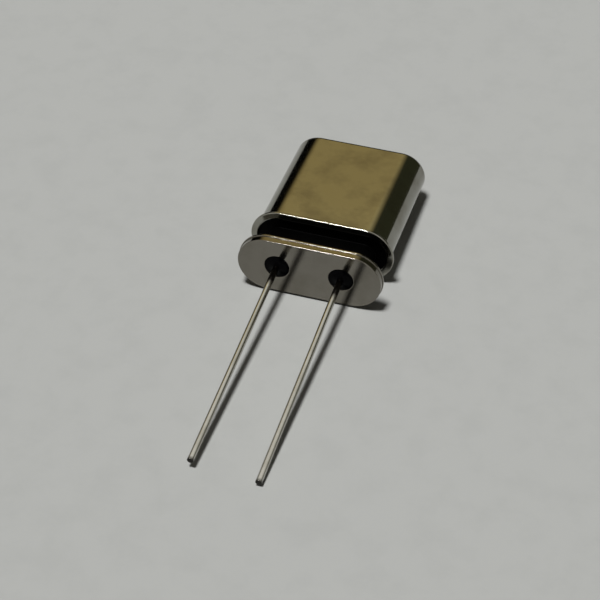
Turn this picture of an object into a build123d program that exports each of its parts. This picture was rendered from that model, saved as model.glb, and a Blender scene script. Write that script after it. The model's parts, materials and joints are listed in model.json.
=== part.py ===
"""Quartz crystal in a flanged metal can, lying on its broad side with its two leads towards -Y.

Lengths are in millimetres. The origin is the centre of the base plate's lead-side face,
X runs along the row of leads, Y runs along the can away from them, and Z is up.
"""

import os
from math import sqrt

from build123d import *

# Quartz blank: a round disc that lies flat in the can's middle plane
blank_diameter = 8.1
blank_thickness = 0.17
blank_bevel = 0.04
blank_foot_room = 0.9
blank_top_room = 0.35
blank_side_room = 0.9

# Plated electrodes, drawn thicker than real plating so that they are solids
electrode_diameter = 5.0
electrode_thickness = 0.02
electrode_tab_margin = 0.1

# Spring clips: slotted ribbons welded to the inner ends of the leads
clip_thickness = 0.12
clip_width = 1.4
clip_bend_radius = 0.3
clip_reach_below = 2.2
clip_reach_above = 1.7
clip_foot_gap = 0.1
clip_slot_gap = 0.05
cement_radius = 0.45

# Drawn can with a thin flange turned out at its mouth
can_height = 3.95
can_wall = 0.25
can_punch_radius = 0.2
can_mouth_radius = 0.15
flange_thickness = 0.26
flange_edge_chamfer = 0.06
flange_root_radius = 0.15

# Base plate, with a thin lip round its back that has the same outline as the flange
rim_overhang = 0.325
plate_thickness = 0.7
plate_front_radius = 0.12
plate_lip_thickness = 0.2
plate_lip_step = 0.06
plate_lip_chamfer = 0.04
plate_hole_chamfer = 0.05

# Black collar behind the plate: a neck across the open gap, then a spigot in the can's mouth
gap_length = 2.58
neck_setback = 0.825
spigot_length = 1.15

# Leads and the glass beads that seal them in the plate
lead_pitch = 4.88
lead_diameter = 0.48
lead_reaches = {"left": 18.5, "right": 18.7}
lead_drops = {"left": 2.3, "right": 2.65}
lead_lean = 0.08
lead_straight = 0.35
lead_bend_radius = 1.5
lead_tip_chamfer = 0.05
lead_flat_depth = 0.13
bead_diameter = 1.9
bead_recess = 0.04
bead_rise = 0.14

# Sizes that follow from the ones above
can_width = blank_diameter + 2 * blank_side_room + 2 * can_wall
cavity_width = can_width - 2 * can_wall
cavity_height = can_height - 2 * can_wall
can_end_radius = can_punch_radius + can_wall
rim_width = can_width + 2 * rim_overhang
rim_height = can_height + 2 * rim_overhang
flange_y = plate_thickness + gap_length
spigot_y = flange_y + can_mouth_radius
spigot_end_y = spigot_y + spigot_length
blank_edge_y = spigot_end_y + blank_foot_room
blank_y = blank_edge_y + blank_diameter / 2
can_length = blank_edge_y + blank_diameter + blank_top_room + can_wall - flange_y
clip_inner_x = blank_diameter / 2 - clip_thickness
lead_radius = lead_diameter / 2
lead_flat_x = lead_pitch / 2 + lead_radius - lead_flat_depth
sides = {"left": -1, "right": 1}


def across(y):
    """The plane across the can at a given Y, with its normal along +Y."""
    return Plane(origin=(0, y, 0), x_dir=(1, 0, 0), z_dir=(0, 1, 0))


def save(piece, label):
    """Label a finished piece and write its STEP file."""
    piece.part.label = label
    export_step(piece.part, f"parts/{label}.step")


os.makedirs("parts", exist_ok=True)

# Can: a flat-sided drawn cup, its closed end rounded, its mouth turned out to the flange
with BuildPart() as can:
    with BuildSketch(across(flange_y)):
        SlotOverall(can_width, can_height)
    extrude(amount=can_length)
    fillet(can.faces().sort_by(Axis.Y)[-1].edges(), radius=can_end_radius)
    with BuildSketch(across(flange_y)):
        SlotOverall(rim_width, rim_height)
    extrude(amount=flange_thickness)
    flange_back = can.faces().filter_by(Plane.XZ).group_by(Axis.Y)[1][0]
    fillet(flange_back.inner_wires().edges(), radius=flange_root_radius)
    flange_front = can.faces().sort_by(Axis.Y)[0]
    chamfer(flange_front.edges() + flange_back.outer_wire().edges(), length=flange_edge_chamfer)
    with BuildSketch(across(flange_y)):
        SlotOverall(cavity_width, cavity_height)
    extrude(amount=can_length - can_wall, mode=Mode.SUBTRACT)
    cavity_end = can.faces().filter_by(Plane.XZ).sort_by(Axis.Y)[-2]
    fillet(cavity_end.edges(), radius=can_punch_radius)
    fillet(can.faces().sort_by(Axis.Y)[0].inner_wires().edges(), radius=can_mouth_radius)
save(can, "can")

# Base plate: a stamped plate with a rolled front edge, a lip and one hole for each lead's seal
with BuildPart() as base_plate:
    with BuildSketch(across(0)):
        SlotOverall(rim_width - 2 * plate_lip_step, rim_height - 2 * plate_lip_step)
    extrude(amount=plate_thickness)
    fillet(base_plate.faces().sort_by(Axis.Y)[0].edges(), radius=plate_front_radius)
    with BuildSketch(across(plate_thickness - plate_lip_thickness)):
        SlotOverall(rim_width, rim_height)
    extrude(amount=plate_lip_thickness)
    lip_front, lip_back = base_plate.faces().filter_by(Plane.XZ).sort_by(Axis.Y)[-2:]
    chamfer(lip_front.outer_wire().edges() + lip_back.edges(), length=plate_lip_chamfer)
    with BuildSketch(across(0)):
        with GridLocations(lead_pitch, 0, 2, 1):
            Circle(bead_diameter / 2)
    extrude(amount=plate_thickness, mode=Mode.SUBTRACT)
    chamfer(base_plate.faces().sort_by(Axis.Y)[0].inner_wires().edges(), length=plate_hole_chamfer)
save(base_plate, "base_plate")

# Collar: a neck from the plate to the spigot that fills the can's mouth, with holes for the leads
with BuildPart() as collar:
    with BuildSketch(across(plate_thickness)):
        SlotOverall(cavity_width - 2 * neck_setback, cavity_height - 2 * neck_setback)
    extrude(amount=spigot_y - plate_thickness)
    with BuildSketch(across(spigot_y)):
        SlotOverall(cavity_width, cavity_height)
    extrude(amount=spigot_length)
    with BuildSketch(across(plate_thickness)):
        with GridLocations(lead_pitch, 0, 2, 1):
            Circle(lead_radius)
    extrude(amount=spigot_end_y - plate_thickness, mode=Mode.SUBTRACT)
save(collar, "collar")

for side, sign in sides.items():
    lead_x = sign * lead_pitch / 2
    lead_axis = Axis((lead_x, 0, 0), (0, 1, 0))

    # Glass bead: fills the plate's hole and climbs the lead in a rounded skirt
    with BuildPart() as glass_bead:
        with BuildSketch(Plane.XY):
            with BuildLine():
                skirt = TangentArc(
                    (lead_x + bead_diameter / 2, bead_recess),
                    (lead_x + lead_radius, -bead_rise),
                    tangent=(-1, 0),
                )
                Polyline(
                    skirt @ 1,
                    (lead_x + lead_radius, plate_thickness),
                    (lead_x + bead_diameter / 2, plate_thickness),
                    skirt @ 0,
                )
            make_face()
        revolve(axis=lead_axis)
    save(glass_bead, f"glass_bead_{side}")

    # Lead: straight through its seal, then set down towards the table, leaning a little to -X
    with BuildPart() as lead:
        with BuildLine():
            FilletPolyline(
                (lead_x, blank_edge_y, 0),
                (lead_x, -lead_straight, 0),
                (lead_x - lead_lean, -lead_reaches[side], -lead_drops[side]),
                radius=lead_bend_radius,
            )
        with BuildSketch(Plane(origin=(lead_x, blank_edge_y, 0), z_dir=(0, -1, 0))):
            Circle(lead_radius)
        sweep()
        chamfer(lead.faces().sort_by(Axis.Y)[0].edges(), length=lead_tip_chamfer)
        with BuildSketch(across(spigot_end_y)):
            with Locations((sign * (lead_flat_x + lead_radius), 0)):
                Rectangle(lead_diameter, lead_diameter)
        extrude(amount=blank_foot_room, mode=Mode.SUBTRACT)
    save(lead, f"lead_{side}")

    # Spring clip: a ribbon from the lead's flat out to the blank's edge, slotted to take it
    clip_foot_x = lead_flat_x + clip_thickness / 2
    clip_run_x = clip_inner_x + clip_thickness / 2
    slot_half_chord = sqrt((blank_diameter / 2) ** 2 - clip_inner_x**2)
    with BuildPart() as spring_clip:
        with BuildSketch(Plane.XY.offset(-clip_width / 2)):
            with BuildLine():
                FilletPolyline(
                    (sign * clip_foot_x, spigot_end_y + clip_foot_gap),
                    (sign * clip_foot_x, blank_edge_y),
                    (sign * clip_run_x, blank_y - clip_reach_below),
                    (sign * clip_run_x, blank_y + clip_reach_above),
                    radius=clip_bend_radius,
                )
            trace(line_width=clip_thickness)
        extrude(amount=clip_width)
        with BuildSketch(Plane.XY.offset(-blank_thickness / 2 - clip_slot_gap)):
            with Locations((sign * clip_run_x, blank_y)):
                Rectangle(2 * clip_thickness, 2 * slot_half_chord + 2 * clip_slot_gap)
        extrude(amount=blank_thickness + 2 * clip_slot_gap, mode=Mode.SUBTRACT)
    save(spring_clip, f"spring_clip_{side}")

# Quartz blank: a thin disc with bevelled edges
with BuildPart() as quartz_blank:
    with BuildSketch(Plane.XY.offset(-blank_thickness / 2)):
        with Locations((0, blank_y)):
            Circle(blank_diameter / 2)
    extrude(amount=blank_thickness)
    chamfer(quartz_blank.edges().filter_by(GeomType.CIRCLE), length=blank_bevel)
save(quartz_blank, "quartz_blank")

# Electrodes and cement: one face's tab runs to the left clip, the other face's to the right
tab_width = 2 * cement_radius + 2 * electrode_tab_margin
for face, side in (("top", "left"), ("bottom", "right")):
    face_plane = Plane.XY.offset(blank_thickness / 2)
    if face == "bottom":
        face_plane = Plane(origin=(0, 0, -blank_thickness / 2), x_dir=(-1, 0, 0), z_dir=(0, 0, -1))
    # Either plane sees its own tab along local -X
    with BuildPart() as electrode:
        with BuildSketch(face_plane):
            with Locations((0, blank_y)):
                Circle(electrode_diameter / 2)
            with Locations((-clip_inner_x / 2, blank_y)):
                Rectangle(clip_inner_x, tab_width)
        extrude(amount=electrode_thickness)
    save(electrode, f"electrode_{face}")

    # Cement: a quarter ball in the corner between the tab and the clip
    corner = face_plane.offset(electrode_thickness).from_local_coords(Vector(-clip_inner_x, blank_y, 0))
    with BuildPart() as cement:
        with Locations(Plane(origin=corner, x_dir=face_plane.x_dir, z_dir=face_plane.z_dir)):
            Sphere(cement_radius, 0, 90, 180, rotation=(0, 0, -90), align=None)
    save(cement, f"cement_{side}")
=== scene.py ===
"""Looks of a quartz crystal in a flanged metal can, lying on a pale table with its leads forward.

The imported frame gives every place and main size. Lengths here are in metres, with MM turning
millimetres into them. X runs along the row of leads, Y along the can away from them, Z is up.
"""

import json
import logging
import math
from dataclasses import dataclass, field, replace
from enum import Enum
from typing import Any

import bpy
import numpy as np
from mathutils import Matrix, Vector


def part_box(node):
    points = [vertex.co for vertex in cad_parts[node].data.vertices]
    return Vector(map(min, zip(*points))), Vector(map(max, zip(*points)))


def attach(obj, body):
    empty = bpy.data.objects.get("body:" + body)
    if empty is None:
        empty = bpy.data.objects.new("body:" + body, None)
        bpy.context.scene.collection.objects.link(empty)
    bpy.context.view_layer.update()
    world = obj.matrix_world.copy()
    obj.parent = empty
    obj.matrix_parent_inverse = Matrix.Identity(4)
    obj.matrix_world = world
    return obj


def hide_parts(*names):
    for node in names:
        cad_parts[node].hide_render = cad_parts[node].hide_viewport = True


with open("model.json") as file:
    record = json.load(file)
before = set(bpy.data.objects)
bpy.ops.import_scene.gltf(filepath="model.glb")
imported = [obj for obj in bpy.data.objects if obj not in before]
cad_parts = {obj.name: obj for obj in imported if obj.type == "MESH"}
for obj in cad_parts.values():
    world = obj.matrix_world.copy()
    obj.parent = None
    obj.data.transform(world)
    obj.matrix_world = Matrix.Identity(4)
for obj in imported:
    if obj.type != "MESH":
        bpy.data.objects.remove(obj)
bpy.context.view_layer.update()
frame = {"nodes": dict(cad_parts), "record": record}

LOG = logging.getLogger("crystal")
MM = 0.001
ROOT_BODY = "root"
# Point attribute that says how dark a lead's wire is: its dark cut end, and painted shade near its seal
DARK_MARK = "dark_cut_and_painted_shade"
# Points that round to the same place on this grid are welded
WELD_GRID = 1e-6 * MM
# Keeps a division clear of zero
TINY = 1e-12


class Side(Enum):
    """The two sides of the crystal along the row of leads."""

    LEFT = "left"
    RIGHT = "right"

    @property
    def sign(self) -> int:
        """Minus one on the left and plus one on the right."""
        return -1 if self is Side.LEFT else 1


def linear(code: str) -> tuple[float, float, float, float]:
    """Turn an sRGB hex colour into linear RGBA.

    Args:
        code: six hex digits with a leading hash.

    Returns:
        Linear red, green, blue and an alpha of one.
    """
    srgb = np.array([int(code[i : i + 2], 16) for i in (1, 3, 5)]) / 255
    rgb = np.where(srgb <= 0.04045, srgb / 12.92, ((srgb + 0.055) / 1.055) ** 2.4)
    return (*rgb.tolist(), 1.0)


def add_node(
    tree: bpy.types.NodeTree,
    kind: str,
    values: dict[Any, Any] | None = None,
    links: dict[Any, bpy.types.NodeSocket] | None = None,
    **settings: Any,
) -> bpy.types.Node:
    """Add a node, set its properties and socket values, and link its inputs.

    Args:
        tree: node tree that gets the node.
        kind: Blender's node type name.
        values: input socket to constant value.
        links: input socket to the output socket that feeds it.
        settings: node properties by name.

    Returns:
        The new node.
    """
    node = tree.nodes.new(kind)
    for name, value in settings.items():
        setattr(node, name, value)
    for socket, value in (values or {}).items():
        node.inputs[socket].default_value = value
    for socket, source in (links or {}).items():
        tree.links.new(source, node.inputs[socket])
    return node


def set_ramp(node: bpy.types.Node, stops: list[tuple[float, str]]) -> None:
    """Give a colour ramp its stops.

    Args:
        node: the colour ramp.
        stops: pairs of position and hex colour.
    """
    elements = node.color_ramp.elements
    while len(elements) < len(stops):
        elements.new(1.0)
    for element, (position, code) in zip(elements, stops):
        element.position = position
        element.color = linear(code)


@dataclass(frozen=True)
class Skin:
    """A patch of surface: vertices, their outward normals, and faces as index rows."""

    points: np.ndarray
    normals: np.ndarray
    quads: np.ndarray
    caps: tuple[np.ndarray, ...] = ()


def grid_quads(rows: int, columns: int, closed: bool) -> np.ndarray:
    """Index the quads of a grid of points.

    Args:
        rows: rows of points.
        columns: points in each row.
        closed: whether the last column joins the first.

    Returns:
        Four indices for each quad.
    """
    spans = columns if closed else columns - 1
    row, column = np.meshgrid(np.arange(rows - 1), np.arange(spans), indexing="ij")
    following = (column + 1) % columns
    corners = (row * columns + column, row * columns + following)
    upper = ((row + 1) * columns + following, (row + 1) * columns + column)
    return np.stack((*corners, *upper), -1).reshape(-1, 4)


def rounded_line(
    corners: np.ndarray, radii: np.ndarray, steps: int = 12
) -> tuple[np.ndarray, np.ndarray]:
    """Round the inner corners of an open line with arcs tangent to both runs.

    At a corner that turns by an angle, the arc starts radius * tan(angle / 2) before it, and its
    heading swings evenly from the first run's to the next one's.

    Args:
        corners: rows of two coordinates.
        radii: one radius for each inner corner.
        steps: spans in each arc.

    Returns:
        Points on the line, and the unit heading at each.
    """
    runs = np.diff(corners, axis=0)
    heads = runs / np.linalg.norm(runs, axis=1, keepdims=True)
    first, after = heads[:-1], heads[1:]
    left = np.stack((-first[:, 1], first[:, 0]), -1)
    turn = np.arctan2((left * after).sum(1), (first * after).sum(1))
    angle = turn[:, None] * np.linspace(0, 1, steps + 1)
    setback = radii * np.tan(np.abs(turn) / 2)
    start = corners[1:-1] - first * setback[:, None]
    along = radii[:, None] * np.sin(np.abs(angle))
    aside = radii[:, None] * np.sign(turn)[:, None] * (1 - np.cos(angle))
    arcs = start[:, None] + along[..., None] * first[:, None] + aside[..., None] * left[:, None]
    swing = np.cos(angle)[..., None] * first[:, None] + np.sin(angle)[..., None] * left[:, None]
    points = np.concatenate((corners[:1], arcs.reshape(-1, 2), corners[-1:]))
    headings = np.concatenate((heads[:1], swing.reshape(-1, 2), heads[-1:]))
    return points, headings


def unit(vectors: np.ndarray) -> np.ndarray:
    """Scale vectors in the last axis to length one."""
    return vectors / np.maximum(np.linalg.norm(vectors, axis=-1, keepdims=True), TINY)


def carry(
    profile: np.ndarray, headings: np.ndarray, angle: np.ndarray, shift: np.ndarray | float
) -> Skin:
    """Carry a profile of radius and Y round a closed outline.

    A point is (shift + radius * cos a, Y, radius * sin a). Its normal lies to the left of the
    profile's heading, so it points out where the profile runs clockwise in radius and Y.

    Args:
        profile: rows of radius and Y.
        headings: unit headings along the profile.
        angle: the outline's angle at each station.
        shift: place in X of the centre that each station turns about.

    Returns:
        The surface, open at the profile's two ends.
    """
    radius, along = profile[:, :1], profile[:, 1:]
    cos, sin = np.cos(angle)[None], np.sin(angle)[None]
    flat = np.zeros_like(cos)
    points = np.stack((shift + radius * cos, along + flat, radius * sin), -1)
    out, lift = -headings[:, 1:], headings[:, :1]
    normals = np.stack((out * cos, lift + flat, out * sin), -1)
    quads = grid_quads(len(profile), len(angle), closed=True)
    return Skin(points.reshape(-1, 3), unit(normals.reshape(-1, 3)), quads)


def place_mesh(name: str, skins: list[Skin]) -> bpy.types.Object:
    """Join skins into one closed mesh object with exact normals.

    Points that coincide are welded, and each face is turned to agree with its points' normals.

    Args:
        name: name of the piece.
        skins: patches that close on each other.

    Returns:
        The new object, at the origin.
    """
    offsets = np.cumsum([0] + [len(skin.points) for skin in skins])
    points = np.concatenate([skin.points for skin in skins])
    normals = np.concatenate([skin.normals for skin in skins])
    grid = np.round(points / WELD_GRID).astype(np.int64)
    _, kept, welded = np.unique(grid, axis=0, return_index=True, return_inverse=True)
    welded = welded.reshape(-1)
    points, normals = points[kept], normals[kept]
    quads = np.concatenate([welded[skin.quads + start] for skin, start in zip(skins, offsets)])
    first, second, third, fourth = points[quads.T]
    across = np.cross(third - first, fourth - second)
    inward = (across * normals[quads].sum(1)).sum(1) < 0
    quads[inward] = quads[inward][:, ::-1]
    faces = quads.tolist()
    for skin, start in zip(skins, offsets):
        for cap in skin.caps:
            ring = welded[cap + start]
            middle = points[ring].mean(0)
            spread = np.cross(points[ring] - middle, points[np.roll(ring, -1)] - middle).sum(0)
            faces.append(ring.tolist() if spread @ normals[ring[0]] > 0 else ring[::-1].tolist())
    mesh = bpy.data.meshes.new(name)
    mesh.from_pydata(points.tolist(), [], faces)
    mesh.shade_smooth()
    mesh.normals_split_custom_set_from_vertices(normals.tolist())
    mesh.validate()
    piece = bpy.data.objects.new(name, mesh)
    bpy.context.scene.collection.objects.link(piece)
    return piece


@dataclass(frozen=True)
class Stadium:
    """A flat outline with two straight sides and full-round ends."""

    half_straight: float
    radius: float

    @classmethod
    def from_box(cls, low: Vector, high: Vector) -> "Stadium":
        """Make the outline that fills a box's width in X and height in Z.

        Args:
            low: the box's lowest corner.
            high: the box's highest corner.

        Returns:
            The outline.
        """
        radius = (high.z - low.z) / 2
        return cls((high.x - low.x) / 2 - radius, radius)

    def stations(self, round_steps: int = 64) -> tuple[np.ndarray, np.ndarray]:
        """Walk once round the outline.

        Args:
            round_steps: spans in each round end.

        Returns:
            The end that each station belongs to, as plus or minus one, and its angle.
        """
        half_turn = np.linspace(-np.pi / 2, np.pi / 2, round_steps + 1)
        ends = np.concatenate((np.ones(round_steps + 1), -np.ones(round_steps + 1)))
        return ends, np.concatenate((half_turn, half_turn + np.pi))


@dataclass(frozen=True)
class Finish:
    """A surface finish: a base colour with its mottling, gloss and fine relief.

    Two noise patterns drive it: a broad one for stains and haze, and a fine one for grain. The two
    ranges are the stretches of the broad one over which the colour and the gloss change.
    """

    name: str
    colour: str
    stain: str
    metallic: float = 0.0
    ior: float = 1.5
    specular: float = 0.5
    roughness: tuple[float, float] = (0.2, 0.3)
    stain_size: float = 2.5 * MM
    grain_size: float = 0.08 * MM
    grain_stretch: tuple[float, float, float] = (1.0, 1.0, 1.0)
    relief: float = 0.0005 * MM
    transmission: float = 0.0
    dark_colour: str | None = None
    stain_detail: float = 4.0
    stain_blend: float = 0.6
    stain_range: tuple[float, float] = (0.45, 0.68)
    haze_range: tuple[float, float] = (0.3, 0.7)
    grain_detail: float = 2.0

    def build(self) -> bpy.types.Material:
        """Make the node material.

        Returns:
            A material on Object coordinates, which are metres in the crystal's frame.
        """
        material = bpy.data.materials.new(self.name)
        material.use_nodes = True
        tree = material.node_tree
        tree.nodes.clear()
        place = add_node(tree, "ShaderNodeTexCoord").outputs["Object"]
        broad = add_node(
            tree,
            "ShaderNodeTexNoise",
            {
                "Scale": 1 / self.stain_size,
                "Detail": self.stain_detail,
                "Roughness": self.stain_blend,
            },
            {"Vector": place},
        )
        stretched = add_node(
            tree, "ShaderNodeMapping", {"Scale": self.grain_stretch}, {"Vector": place}
        )
        fine = add_node(
            tree,
            "ShaderNodeTexNoise",
            {"Scale": 1 / self.grain_size, "Detail": self.grain_detail},
            {"Vector": stretched.outputs["Vector"]},
        )
        tint = add_node(tree, "ShaderNodeValToRGB", links={"Fac": broad.outputs["Fac"]})
        set_ramp(tint, list(zip(self.stain_range, (self.colour, self.stain))))
        colour = tint.outputs["Color"]
        if self.dark_colour:
            mark = add_node(tree, "ShaderNodeAttribute", attribute_name=DARK_MARK)
            colour = add_node(
                tree,
                "ShaderNodeMixRGB",
                {"Color2": linear(self.dark_colour)},
                {"Fac": mark.outputs["Fac"], "Color1": colour},
            ).outputs["Color"]
        haze = add_node(
            tree,
            "ShaderNodeMapRange",
            {
                "From Min": self.haze_range[0],
                "From Max": self.haze_range[1],
                "To Min": self.roughness[0],
                "To Max": self.roughness[1],
            },
            {"Value": broad.outputs["Fac"]},
        )
        bump = add_node(
            tree,
            "ShaderNodeBump",
            {"Strength": 1.0, "Distance": self.relief},
            {"Height": fine.outputs["Fac"]},
        )
        shader = add_node(
            tree,
            "ShaderNodeBsdfPrincipled",
            {
                "Metallic": self.metallic,
                "IOR": self.ior,
                "Specular IOR Level": self.specular,
                "Transmission Weight": self.transmission,
            },
            {
                "Base Color": colour,
                "Roughness": haze.outputs["Result"],
                "Normal": bump.outputs["Normal"],
            },
        )
        add_node(tree, "ShaderNodeOutputMaterial", links={"Surface": shader.outputs["BSDF"]})
        return material


# Nickel silver, drawn and tumbled: a soft mirror, a little yellow, with faint handling haze
CAN_FINISH = Finish(
    "nickel_silver_drawn",
    "#98978F",
    "#868379",
    1.0,
    roughness=(0.08, 0.16),
    grain_stretch=(1.0, 0.2, 1.0),
)
# Nickel-plated steel, stamped: a soft mirror, darker than the can
PLATE_FINISH = Finish("nickel_plate_stamped", "#837F77", "#7A766D", 1.0, roughness=(0.07, 0.12))
# Black sealing compound, moulded, deep black with hardly any gloss: partly the seal's own black, partly
# painted shade standing in for the dark open gap between the plate and the can's mouth
COLLAR_FINISH = Finish("black_seal_and_painted_shade", "#020202", "#030303", specular=0.03, roughness=(0.3, 0.4))
# Black sealing glass, fused: deep black and smooth, with faint highlights
BEAD_FINISH = Finish("black_glass_fused", "#020203", "#030304", specular=0.04, roughness=(0.05, 0.1))
# Tinned wire, drawn: bright, with fine lines along it, and dark where it was cut. Near its seal it is
# darkened as painted shade, for the dark that the wire mirrors there
LEAD_FINISH = Finish(
    "tinned_wire_drawn",
    "#C1BFB8",
    "#AFACA2",
    1.0,
    roughness=(0.1, 0.18),
    grain_size=0.05 * MM,
    grain_stretch=(1.0, 0.05, 1.0),
    dark_colour="#2B2926",
)
# Nickel ribbon, rolled: grey with rolling lines along its length
CLIP_FINISH = Finish(
    "nickel_ribbon_rolled",
    "#B4AFA6",
    "#A39D92",
    1.0,
    roughness=(0.25, 0.4),
    grain_stretch=(1.0, 0.1, 1.0),
)
# Quartz, lapped: clear with a fine frost
QUARTZ_FINISH = Finish(
    "quartz_lapped", "#EDF1F2", "#E4EAEC", ior=1.54, roughness=(0.15, 0.3), transmission=0.9
)
# Silver, plated: bright with a soft cloud
SILVER_FINISH = Finish("silver_plated", "#E9E6DD", "#DAD5C8", 1.0, roughness=(0.15, 0.25))
# Silver-filled cement, cured: grey, dull and grainy
CEMENT_FINISH = Finish(
    "silver_cement_cured", "#8E8B85", "#A5A29B", roughness=(0.6, 0.8), relief=0.01 * MM
)
# Paper sheet, pressed: pale grey and matt, with faint clouds
TABLE_FINISH = Finish("table_sheet", "#B3B4B1", "#B0B1AE", specular=0.2, roughness=(0.6, 0.7))


def dress(piece: bpy.types.Object, finish: Finish) -> None:
    """Give an object one finish in place of any material that it has.

    Args:
        piece: the object.
        finish: its finish, built at its first use.
    """
    material = bpy.data.materials.get(finish.name) or finish.build()
    piece.data.materials.clear()
    piece.data.materials.append(material)


def stand_for(piece: bpy.types.Object, node: str, finish: Finish) -> None:
    """Let a piece take a node's place on the crystal.

    Args:
        piece: the new piece.
        node: the node that it replaces.
        finish: the piece's finish.
    """
    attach(piece, ROOT_BODY)
    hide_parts(node)
    dress(piece, finish)
    LOG.info("%s stands for %s", piece.name, node)


@dataclass
class Can:
    """The drawn can: a flat-sided cup whose mouth is turned out to a thin flange."""

    wall: float = 0.25 * MM
    end_radius: float = 0.45 * MM
    flange_thickness: float = 0.26 * MM
    edge_radius: float = 0.08 * MM
    root_radius: float = 0.15 * MM
    mouth_radius: float = 0.15 * MM
    cap_share: float = 0.3
    rim: Stadium = field(init=False)
    body: Stadium = field(init=False)
    mouth_y: float = field(init=False)
    end_y: float = field(init=False)

    def __post_init__(self) -> None:
        """Read the flange's outline, the body's outline and the length from the frame."""
        low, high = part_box("can")
        self.rim = Stadium.from_box(low, high)
        inside = Stadium.from_box(*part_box("collar"))
        self.body = Stadium(inside.half_straight, inside.radius + self.wall)
        self.mouth_y, self.end_y = low.y, high.y

    def profile(self) -> tuple[np.ndarray, np.ndarray]:
        """Run from the outer end face down the wall, round the flange and up the inside.

        Returns:
            Points of radius and Y, and their headings.
        """
        body, rim = self.body.radius, self.rim.radius
        core = self.cap_share * body
        inside = body - self.wall
        corners = np.array(
            [
                (core, self.end_y),
                (body, self.end_y),
                (body, self.mouth_y + self.flange_thickness),
                (rim, self.mouth_y + self.flange_thickness),
                (rim, self.mouth_y),
                (inside, self.mouth_y),
                (inside, self.end_y - self.wall),
                (core, self.end_y - self.wall),
            ]
        )
        radii = np.array(
            [
                self.end_radius,
                self.root_radius,
                self.edge_radius,
                self.edge_radius,
                self.mouth_radius,
                self.end_radius - self.wall,
            ]
        )
        return rounded_line(corners, radii)

    def build(self) -> bpy.types.Object:
        """Carry the profile round the outline and close both ends.

        Returns:
            The can.
        """
        profile, headings = self.profile()
        ends, angle = self.body.stations()
        skin = carry(profile, headings, angle, ends * self.body.half_straight)
        ring = np.arange(len(angle))
        caps = (ring, ring + (len(profile) - 1) * len(angle))
        return place_mesh("can_drawn", [replace(skin, caps=caps)])

    def make(self) -> None:
        """Build the can and put it in its node's place."""
        stand_for(self.build(), "can", CAN_FINISH)


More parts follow.
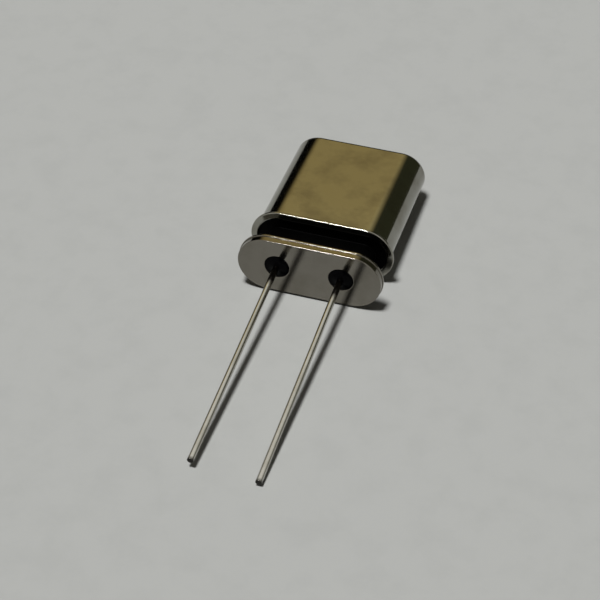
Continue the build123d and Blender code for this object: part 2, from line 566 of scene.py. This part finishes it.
@dataclass
class PiercedSlab:
    """A slab with a full-round outline and one hole for each lead, as the plate and the collar are."""

    name: str
    outline: Stadium
    pitch: float
    hole_radius: float
    hole_edge: float
    rim_corners: np.ndarray
    rim_radii: np.ndarray
    inset: float
    middle_steps: int = 24
    outer_steps: int = 240
    hole_steps: int = 6

    @property
    def outer_angles(self) -> np.ndarray:
        """Angles of the rays from a hole's centre that reach the outline."""
        corner = math.atan2(self.outline.radius - self.inset, self.pitch / 2)
        return np.linspace(corner, 2 * np.pi - corner, self.outer_steps + 1)

    @property
    def all_angles(self) -> np.ndarray:
        """Angles of the rays all round a hole, those to the middle line first."""
        outer = self.outer_angles
        middle = np.linspace(-outer[0], outer[0], self.middle_steps + 1)
        return np.concatenate((middle, outer[1:-1]))

    def ring_from(self, side: Side, angle: np.ndarray) -> tuple[np.ndarray, np.ndarray]:
        """Cast rays from one hole's centre to the inset outline.

        A ray stops at the straight side or, beyond it, at the round end's circle, and the one
        that reaches the middle line first stops there.

        Args:
            side: which hole.
            angle: angles of the rays, counted from the inward direction.

        Returns:
            Points in X and Z, and the outline's normals there.
        """
        radius = self.outline.radius - self.inset
        reach = self.outline.half_straight - self.pitch / 2
        cos, sin = -np.cos(angle), np.sin(angle)
        across = radius / np.maximum(np.abs(sin), TINY)
        inward = self.pitch / 2 / np.maximum(-cos, TINY)
        length = np.minimum(across, inward)
        chord = reach * cos + np.sqrt(np.maximum(radius**2 - (reach * sin) ** 2, 0))
        length = np.where(length * cos > reach, chord, length)
        out, up = length * cos, length * sin
        normal = unit(np.stack((np.maximum(out - reach, 0), up), -1))
        points = np.stack((side.sign * (self.pitch / 2 + out), up), -1)
        return points, normal * np.array((side.sign, 1))

    def hole_skin(self, side: Side) -> Skin:
        """Make one hole's wall, with its edges rounded into both faces.

        Args:
            side: which hole.

        Returns:
            The wall, from the front face to the back.
        """
        front_y, back_y = self.rim_corners[0, 1], self.rim_corners[-1, 1]
        edge = self.hole_radius + 2 * self.hole_edge
        corners = np.array(
            [
                (edge, front_y),
                (self.hole_radius, front_y),
                (self.hole_radius, back_y),
                (edge, back_y),
            ]
        )
        profile, headings = rounded_line(corners, np.full(2, self.hole_edge), self.hole_steps)
        angle = self.all_angles if side is Side.LEFT else np.pi - self.all_angles
        return carry(profile, headings, angle, side.sign * self.pitch / 2)

    def face_skins(self, side: Side, wall: Skin) -> list[Skin]:
        """Make one half of each face, as a sheet between the hole's edge and the inset outline.

        Args:
            side: which half.
            wall: the hole's wall, whose two end rings the sheets meet.

        Returns:
            The front sheet and the back sheet.
        """
        ring, _ = self.ring_from(side, self.all_angles)
        columns = len(ring)
        skins = []
        for inner, facing in ((wall.points[:columns], -1.0), (wall.points[-columns:], 1.0)):
            points = np.concatenate((inner, np.insert(ring, 1, inner[0, 1], axis=1)))
            normals = np.tile((0.0, facing, 0.0), (len(points), 1))
            skins.append(Skin(points, normals, grid_quads(2, columns, closed=True)))
        return skins

    def rim_skin(self, side: Side) -> Skin:
        """Carry the rim's profile along one half of the outline.

        A point is base + offset * N in X and Z, where N is the outline's normal, with the profile's
        own Y.

        Args:
            side: which half.

        Returns:
            The rim, from the front face to the back.
        """
        base, normal = self.ring_from(side, self.outer_angles)
        profile, headings = rounded_line(self.rim_corners, self.rim_radii)
        flat = base + profile[:, :1, None] * normal
        points = np.insert(flat, 1, profile[:, 1:], axis=2)
        normals = np.insert(headings[:, 1:, None] * normal, 1, -headings[:, :1], axis=2)
        quads = grid_quads(len(profile), len(base), closed=False)
        return Skin(points.reshape(-1, 3), unit(normals.reshape(-1, 3)), quads)

    def build(self) -> bpy.types.Object:
        """Make the two faces, the hole walls and the rim, closed on each other.

        Returns:
            The slab.
        """
        skins = []
        for side in Side:
            wall = self.hole_skin(side)
            skins += [*self.face_skins(side, wall), wall, self.rim_skin(side)]
        return place_mesh(self.name, skins)


def lead_mount(side: Side) -> dict[str, Any]:
    """Find the mount that states one lead's place, direction and size."""
    return next(m for m in frame["record"]["mounts"] if m["name"] == f"lead_{side.value}")


@dataclass
class Header:
    """The base plate, the black collar behind it, and the glass beads in the plate."""

    can: Can
    # Sharper than the solid's edge, so that its line of light is as thin as in the photograph
    plate_front_radius: float = 0.05 * MM
    plate_inset: float = 0.6 * MM
    lip_thickness: float = 0.2 * MM
    lip_step: float = 0.06 * MM
    lip_radius: float = 0.05 * MM
    hole_edge: float = 0.05 * MM
    neck_setback: float = 0.825 * MM
    collar_edge: float = 0.03 * MM
    bead_rise: float = 0.14 * MM
    bead_recess: float = 0.04 * MM
    edge_radius: float = 0.01 * MM
    bead_columns: int = 96
    bead_edge_steps: int = 4
    skirt_steps: int = 24

    def centre_x(self, node: str) -> float:
        """The middle of a node's box in X."""
        low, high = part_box(node)
        return (low.x + high.x) / 2

    @property
    def pitch(self) -> float:
        """The distance between the two leads."""
        return self.centre_x("glass_bead_right") - self.centre_x("glass_bead_left")

    @property
    def bead_radius(self) -> float:
        """The outer radius of a glass bead."""
        low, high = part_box("glass_bead_left")
        return (high.x - low.x) / 2

    @property
    def lead_radius(self) -> float:
        """The radius of a lead."""
        return lead_mount(Side.LEFT)["dims"]["r_mm"] * MM

    def build_plate(self) -> bpy.types.Object:
        """Build the stamped plate with its rolled front edge and the lip round its back.

        Returns:
            The plate.
        """
        low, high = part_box("base_plate")
        inset = self.plate_inset
        body, lip_y = inset - self.lip_step, high.y - self.lip_thickness
        corners = np.array(
            [
                (0, low.y),
                (body, low.y),
                (body, lip_y),
                (inset, lip_y),
                (inset, high.y),
                (0, high.y),
            ]
        )
        radii = np.array(
            [
                self.plate_front_radius,
                self.edge_radius,
                self.lip_radius - self.edge_radius,
                self.lip_radius,
            ]
        )
        return PiercedSlab(
            "base_plate_stamped",
            Stadium.from_box(low, high),
            self.pitch,
            self.bead_radius,
            self.hole_edge,
            corners,
            radii,
            inset,
        ).build()

    def build_collar(self) -> bpy.types.Object:
        """Build the collar's neck and the spigot that fills the can's mouth.

        Returns:
            The collar.
        """
        low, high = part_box("collar")
        outline = Stadium.from_box(low, high)
        # The sheets of the two faces end at half the neck's radius
        inset = (outline.radius + self.neck_setback) / 2
        neck = inset - self.neck_setback
        spigot_y = self.can.mouth_y + self.can.mouth_radius
        corners = np.array(
            [
                (0, low.y),
                (neck, low.y),
                (neck, spigot_y),
                (inset, spigot_y),
                (inset, high.y),
                (0, high.y),
            ]
        )
        return PiercedSlab(
            "collar_moulded",
            outline,
            self.pitch,
            self.lead_radius,
            self.edge_radius,
            corners,
            np.full(4, self.collar_edge),
            inset,
        ).build()

    def build_bead(self, side: Side) -> bpy.types.Object:
        """Turn a bead whose face climbs the lead in a rounded skirt.

        The skirt's height follows the square of the way in from the bead's rim.

        Args:
            side: which bead.

        Returns:
            The bead.
        """
        low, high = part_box("base_plate")
        way_in = np.linspace(0, 1, self.skirt_steps + 1)[1:-1]
        drop = self.bead_recess + self.bead_rise
        width = self.bead_radius - self.lead_radius
        skirt = np.stack(
            (self.bead_radius - width * way_in, low.y + self.bead_recess - drop * way_in**2), -1
        )
        skirt_heading = unit(np.stack((np.full_like(way_in, -width), -2 * drop * way_in), -1))
        inner_top = np.array((self.lead_radius, low.y - self.bead_rise))
        outer_top = np.array((self.bead_radius, low.y + self.bead_recess))
        corners = np.array(
            [
                inner_top,
                (self.lead_radius, high.y),
                (self.bead_radius, high.y),
                outer_top,
            ]
        )
        walls, wall_headings = rounded_line(
            corners, np.full(2, self.edge_radius), self.bead_edge_steps
        )
        points = np.concatenate((walls, skirt, walls[:1]))
        headings = np.concatenate((wall_headings, skirt_heading, wall_headings[:1]))
        angle = np.linspace(0, 2 * np.pi, self.bead_columns, endpoint=False)
        skin = carry(points, -headings, angle, self.centre_x(f"glass_bead_{side.value}"))
        return place_mesh(f"glass_bead_fused_{side.value}", [skin])

    def make(self) -> None:
        """Build the plate, the collar and both beads."""
        stand_for(self.build_plate(), "base_plate", PLATE_FINISH)
        # The collar's near-black is partly painted shade for the dark gap between the plate and the can
        stand_for(self.build_collar(), "collar", COLLAR_FINISH)
        for side in Side:
            stand_for(self.build_bead(side), f"glass_bead_{side.value}", BEAD_FINISH)


@dataclass
class Lead:
    """A wire lead: straight through its seal, then set down to the table in one easy bend."""

    side: Side
    bend_radius: float = 1.5 * MM
    tip_edge: float = 0.05 * MM
    flat_step: float = 0.02 * MM
    cut_length: float = 0.3 * MM
    # How far past the bend the painted shade near the seal runs, and over how much it fades
    painted_shade_length: float = 1.1 * MM
    painted_shade_fade: float = 0.6 * MM
    columns: int = 48
    bend_steps: int = 8
    tip_steps: int = 6

    @property
    def node(self) -> str:
        """The lead's node name."""
        return f"lead_{self.side.value}"

    def path(self) -> tuple[np.ndarray, np.ndarray, np.ndarray]:
        """Find the wire's middle line from its mount.

        The wire runs along Y to the knee, where it meets the mount's axis, and then along that axis.

        Returns:
            Points from the inner end to the tip, their headings, and the direction square to both runs.
        """
        mount = lead_mount(self.side)
        place, axis = np.array(mount["pos_m"]), np.array(mount["axis"])
        knee = place - axis * place[2] / axis[2]
        tip = place + axis * (mount["dims"]["length_mm"] * MM / 2 + self.tip_edge)
        start = np.array((knee[0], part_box(self.node)[1].y, 0.0))
        forward = np.array((0.0, -1.0, 0.0))
        down = unit(axis - (axis @ forward) * forward)
        plane = np.stack((forward, down))
        corners = (np.stack((start, knee, tip)) - start) @ plane.T
        line, headings = rounded_line(corners, np.array([self.bend_radius]), self.bend_steps)
        return start + line @ plane, headings @ plane, np.cross(forward, down)

    def build(self) -> bpy.types.Object:
        """Carry a circle along the middle line, round its tip and flatten its welded end.

        A point is middle + r * (cos a * S + sin a * N), where S is square to both runs and N stands
        across the heading.

        Returns:
            The wire.
        """
        radius = lead_mount(self.side)["dims"]["r_mm"] * MM
        middle, headings, square = self.path()
        turn = np.linspace(0, np.pi / 2, self.tip_steps + 1)
        cap = middle[-1] + headings[-1] * (self.tip_edge * (np.sin(turn) - 1))[:, None]
        # Rings where the painted shade near the seal begins to fade and where it ends
        marks = np.array((self.painted_shade_length, self.painted_shade_length + self.painted_shade_fade))[:, None]
        painted_shade = middle[-2] + headings[-1] * marks
        cut = middle[-1:] - headings[-1:] * self.cut_length
        weld_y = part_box("collar")[1].y
        # Two rings of the flat, then the first round one
        welded = np.tile(middle[0], (3, 1))
        welded[1:, 1] = weld_y + self.flat_step, weld_y
        run = np.concatenate((painted_shade, cut, cap))
        centres = np.concatenate((welded, middle[1:-1], run))
        ahead = np.concatenate(
            (
                np.tile(headings[0], (len(welded), 1)),
                headings[1:-1],
                np.tile(headings[-1], (len(run), 1)),
            )
        )
        sizes = np.full(len(centres), radius)
        sizes[-len(turn) :] -= self.tip_edge * (1 - np.cos(turn))
        lean = np.zeros(len(centres))
        lean[-len(turn) :] = np.sin(turn)
        angle = np.linspace(0, 2 * np.pi, self.columns, endpoint=False)[:, None]
        spoke = np.cos(angle) * square + np.sin(angle) * np.cross(ahead, square)[:, None]
        points = centres[:, None] + sizes[:, None, None] * spoke
        clip_low, clip_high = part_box(f"spring_clip_{self.side.value}")
        flat_x = clip_low.x if self.side is Side.RIGHT else clip_high.x
        limit = np.minimum if self.side is Side.RIGHT else np.maximum
        points[:2, :, 0] = limit(points[:2, :, 0], flat_x)
        lean = lean[:, None, None]
        outward = np.sqrt(1 - lean**2) * spoke + lean * ahead[:, None]
        ring = np.arange(self.columns)
        skin = Skin(
            points.reshape(-1, 3),
            unit(outward.reshape(-1, 3)),
            grid_quads(len(centres), self.columns, closed=True),
            (ring, ring + (len(centres) - 1) * self.columns),
        )
        return place_mesh(f"lead_wire_{self.side.value}", [skin])

    def mark_ends(self, wire: bpy.types.Object) -> None:
        """Store how dark each point is.

        It is one at the cut end and falls to zero a cut length in. It is also one from the inner end to
        a set length past the bend, and falls to zero over a further fade: this is painted shade for the
        dark that the wire mirrors near its seal.

        Args:
            wire: the lead's mesh, which gets the values as a point attribute.
        """
        middle, headings, _ = self.path()
        points = np.empty(3 * len(wire.data.vertices), np.float32)
        wire.data.vertices.foreach_get("co", points)
        points = points.reshape(-1, 3)
        past_tip = (points - middle[-1]) @ headings[-1]
        past_bend = (points - middle[-2]) @ headings[-1]
        cut = np.clip(1 + past_tip / self.cut_length, 0, 1)
        # Painted shade: the wire near its seal is darkened for the dark surroundings that it mirrors
        # there
        painted_shade = np.clip(1 - (past_bend - self.painted_shade_length) / self.painted_shade_fade, 0, 1)
        dark = np.maximum(cut, painted_shade).astype(np.float32)
        wire.data.attributes.new(DARK_MARK, "FLOAT", "POINT").data.foreach_set("value", dark)

    def make(self) -> None:
        """Build the wire and put it in its node's place."""
        wire = self.build()
        self.mark_ends(wire)
        stand_for(wire, self.node, LEAD_FINISH)


@dataclass
class Resonator:
    """The pieces inside the can: the blank, its electrodes, the clips and the cement."""

    finishes: dict[str, Finish] = field(
        default_factory=lambda: {
            "quartz_blank": QUARTZ_FINISH,
            "electrode_top": SILVER_FINISH,
            "electrode_bottom": SILVER_FINISH,
            "spring_clip_left": CLIP_FINISH,
            "spring_clip_right": CLIP_FINISH,
            "cement_left": CEMENT_FINISH,
            "cement_right": CEMENT_FINISH,
        }
    )

    def make(self) -> None:
        """Give each inner node its finish."""
        for node, finish in self.finishes.items():
            dress(frame["nodes"][node], finish)
            LOG.info("%s dressed in %s", node, finish.name)


@dataclass(frozen=True)
class PhotoCamera:
    """The camera that sees the crystal as the photograph does."""

    azimuth_deg: float = 17.0
    elevation_deg: float = 40.594
    roll_deg: float = 0.686
    distance: float = 134.25 * MM
    focal_px: float = 1839.52
    origin_px: tuple[float, float] = (308.52, 273.5)
    frame_px: float = 600.0
    sensor_mm: float = 36.0
    clip_near: float = 1 * MM
    clip_far: float = 10.0

    def make(self) -> None:
        """Place the camera so that the frame's origin falls on its pixel."""
        azimuth, elevation = math.radians(self.azimuth_deg), math.radians(self.elevation_deg)
        back = Vector(
            (
                math.sin(azimuth) * math.cos(elevation),
                -math.cos(azimuth) * math.cos(elevation),
                math.sin(elevation),
            )
        )
        level = Vector((math.cos(azimuth), math.sin(azimuth), 0))
        turn = Matrix.Rotation(math.radians(self.roll_deg), 3, back)
        right = turn @ level
        up = back.cross(right)
        metres_per_px = self.distance / self.focal_px
        aside = (self.origin_px[0] - self.frame_px / 2) * metres_per_px
        above = (self.frame_px / 2 - self.origin_px[1]) * metres_per_px
        data = bpy.data.cameras.new("photo_camera")
        data.sensor_width = self.sensor_mm
        data.lens = self.focal_px * self.sensor_mm / self.frame_px
        data.clip_start, data.clip_end = self.clip_near, self.clip_far
        camera = bpy.data.objects.new("photo_camera", data)
        rotation = Matrix((right, up, back)).transposed().to_4x4()
        place = back * self.distance - right * aside - up * above
        camera.matrix_world = Matrix.Translation(place) @ rotation
        bpy.context.scene.collection.objects.link(camera)
        bpy.context.scene.camera = camera


# Colours up the room's walls, each with the height that it lies at
ROOM_WALLS: dict[str, list[tuple[float, str]]] = {
    "warm": [
        (0.42, "#050504"),
        (0.57, "#C9B377"),
        (0.61, "#C9B377"),
        (0.64, "#D3C084"),
        (0.80, "#E4E3DA"),
        (0.95, "#F6F4EE"),
    ],
    "plain": [(0.0, "#8E8D88"), (0.35, "#B5B3AC"), (0.9, "#F0EEE8")],
}
# How bright the dim patch high in front is against the rest of the room
FRONT_DIM = 0.2
# Masks over the room: axis, where each starts and ends along it, and its value before and after
ROOM_MASKS: dict[str, tuple[str, float, float, float, float]] = {
    "left": ("X", -0.08, 0.18, 1.0, 0.0),
    "ceiling": ("Z", 0.7, 0.88, 0.0, 1.0),
    "behind": ("Y", 0.48, 0.54, 0.0, 1.0),
    "low": ("Z", 0.3, 0.42, 1.0, FRONT_DIM),
    "overhead": ("Y", -0.45, -0.25, FRONT_DIM, 1.0),
    "front_left": ("X", -0.62, -0.42, 1.0, FRONT_DIM),
    "front_right": ("X", 0.3, 0.5, FRONT_DIM, 1.0),
}


@dataclass(frozen=True)
class Studio:
    """A pale table, one soft key lamp, and a room that the metal reflects."""

    can: Can
    table_span: float = 4.0
    table_gap: float = 0.005 * MM
    key_from: tuple[float, float, float] = (-0.14, -0.2, 1.0)
    key_strength: float = 3.0
    key_angle_deg: float = 12.0
    ambient: float = 0.07
    corner_colour: str = "#3C3D2C"
    backdrop_colour: str = "#B2B3B0"

    def rest_line(self) -> tuple[float, float]:
        """Find the table that touches the can's flange and its closed end from below.

        Both edges are circles in Y and Z. The table z = slope * y + height passes one radius under
        each centre, because so small a slope hardly shortens the radius.

        Returns:
            The slope along Y, and the height at the origin.
        """
        can = self.can
        flange_y = can.mouth_y + can.flange_thickness - can.edge_radius
        end_y = can.end_y - can.end_radius
        slope = (can.rim.radius - can.body.radius) / (end_y - flange_y)
        return slope, -can.rim.radius - slope * flange_y - self.table_gap

    def make_table(self) -> None:
        """Lay a wide sheet under the crystal, with a faint paper grain."""
        slope, height = self.rest_line()
        half = self.table_span / 2
        near, far = height - slope * half, height + slope * half
        mesh = bpy.data.meshes.new("table")
        mesh.from_pydata(
            [(-half, -half, near), (half, -half, near), (half, half, far), (-half, half, far)],
            [],
            [(0, 1, 2, 3)],
        )
        table = bpy.data.objects.new("table", mesh)
        bpy.context.scene.collection.objects.link(table)
        dress(table, TABLE_FINISH)

    def make_key(self) -> None:
        """Hang the key lamp high on the left, a little in front."""
        data = bpy.data.lights.new("key", "SUN")
        data.energy = self.key_strength
        data.angle = math.radians(self.key_angle_deg)
        lamp = bpy.data.objects.new("key", data)
        lamp.rotation_mode = "QUATERNION"
        lamp.rotation_quaternion = Vector(self.key_from).to_track_quat("Z", "Y")
        bpy.context.scene.collection.objects.link(lamp)

    def make_room(self) -> None:
        """Wrap the crystal in the room that its metal reflects.

        The ramps run up the room, from level at 0 to overhead at 1. Behind the crystal stands a
        warm wall over a dark foot, with a dark corner on the right. The rest is a plain pale room
        with a dim patch high in front. The camera sees a plain backdrop past the table's edge, and
        matt surfaces get only a little of the room's light.
        """
        world = bpy.data.worlds.new("room")
        bpy.context.scene.world = world
        world.use_nodes = True
        tree = world.node_tree
        tree.nodes.clear()
        way = add_node(tree, "ShaderNodeTexCoord").outputs["Generated"]
        parts = add_node(tree, "ShaderNodeSeparateXYZ", links={"Vector": way})
        walls = {}
        for name, stops in ROOM_WALLS.items():
            walls[name] = add_node(tree, "ShaderNodeValToRGB", links={"Fac": parts.outputs["Z"]})
            set_ramp(walls[name], stops)
        masks = {}
        for name, (axis, start, end, before, after) in ROOM_MASKS.items():
            masks[name] = add_node(
                tree,
                "ShaderNodeMapRange",
                {"From Min": start, "From Max": end, "To Min": before, "To Max": after},
                {"Value": parts.outputs[axis]},
            ).outputs["Result"]
        lit = add_node(
            tree,
            "ShaderNodeMath",
            links={0: masks["left"], 1: masks["ceiling"]},
            operation="MAXIMUM",
        )
        behind = add_node(
            tree,
            "ShaderNodeMixRGB",
            {"Color1": linear(self.corner_colour)},
            {"Fac": lit.outputs["Value"], "Color2": walls["warm"].outputs["Color"]},
        )
        colour = add_node(
            tree,
            "ShaderNodeMixRGB",
            links={
                "Fac": masks["behind"],
                "Color1": walls["plain"].outputs["Color"],
                "Color2": behind.outputs["Color"],
            },
        )
        clear = masks["low"]
        for name in ("overhead", "front_left", "front_right"):
            clear = add_node(
                tree, "ShaderNodeMath", links={0: clear, 1: masks[name]}, operation="MAXIMUM"
            ).outputs["Value"]
        ray = add_node(tree, "ShaderNodeLightPath")
        seen = add_node(
            tree,
            "ShaderNodeMixRGB",
            {"Color2": linear(self.backdrop_colour)},
            {"Fac": ray.outputs["Is Camera Ray"], "Color1": colour.outputs["Color"]},
        )
        level = add_node(
            tree,
            "ShaderNodeMapRange",
            {"To Min": 1.0, "To Max": self.ambient},
            {"Value": ray.outputs["Is Diffuse Ray"]},
        )
        strength = add_node(
            tree,
            "ShaderNodeMath",
            links={0: clear, 1: level.outputs["Result"]},
            operation="MULTIPLY",
        )
        sky = add_node(
            tree,
            "ShaderNodeBackground",
            links={"Color": seen.outputs["Color"], "Strength": strength.outputs["Value"]},
        )
        add_node(tree, "ShaderNodeOutputWorld", links={"Surface": sky.outputs["Background"]})

    def make(self) -> None:
        """Set the table, the lamp, the room and the plain view transform."""
        self.make_table()
        self.make_key()
        self.make_room()
        bpy.context.scene.view_settings.view_transform = "Standard"


def main() -> None:
    """Build the crystal's pieces, then the camera and the studio."""
    logging.basicConfig(level=logging.INFO, format="%(name)s: %(message)s")
    can = Can()
    can.make()
    Header(can).make()
    for side in Side:
        Lead(side).make()
    Resonator().make()
    PhotoCamera().make()
    Studio(can).make()


if __name__ == "__main__":
    main()
